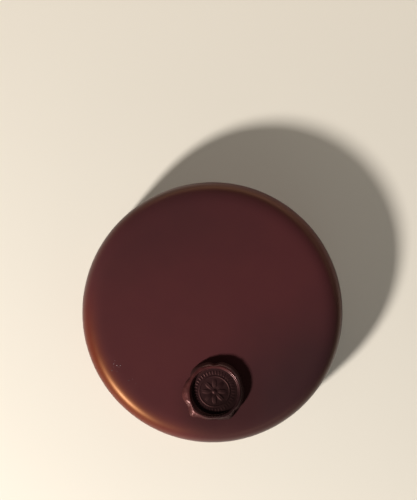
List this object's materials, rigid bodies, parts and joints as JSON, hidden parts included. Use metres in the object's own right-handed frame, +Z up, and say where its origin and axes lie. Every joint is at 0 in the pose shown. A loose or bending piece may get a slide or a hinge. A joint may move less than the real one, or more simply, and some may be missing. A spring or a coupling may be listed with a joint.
{
  "type": "sachertorte cake",
  "caption": "Whole round chocolate torte, flat on top with softly rounded edges, under a dark poured glaze, with a pressed chocolate seal near the front of its top.",
  "frame": {"origin": "middle of the cake's flat underside, on the surface that it stands on", "axes": "+Z up out of the glazed top; -Y towards the front, the side that the seal lies on; +X to the right seen from the front"},
  "size_m": [0.22, 0.22, 0.0559],
  "materials": {
    "chocolate_glaze": "satin",
    "chocolate_seal": "satin"
  },
  "bodies": {
    "root": {"cake": "chocolate_glaze", "seal": "chocolate_seal"}
  },
  "joints": []
}
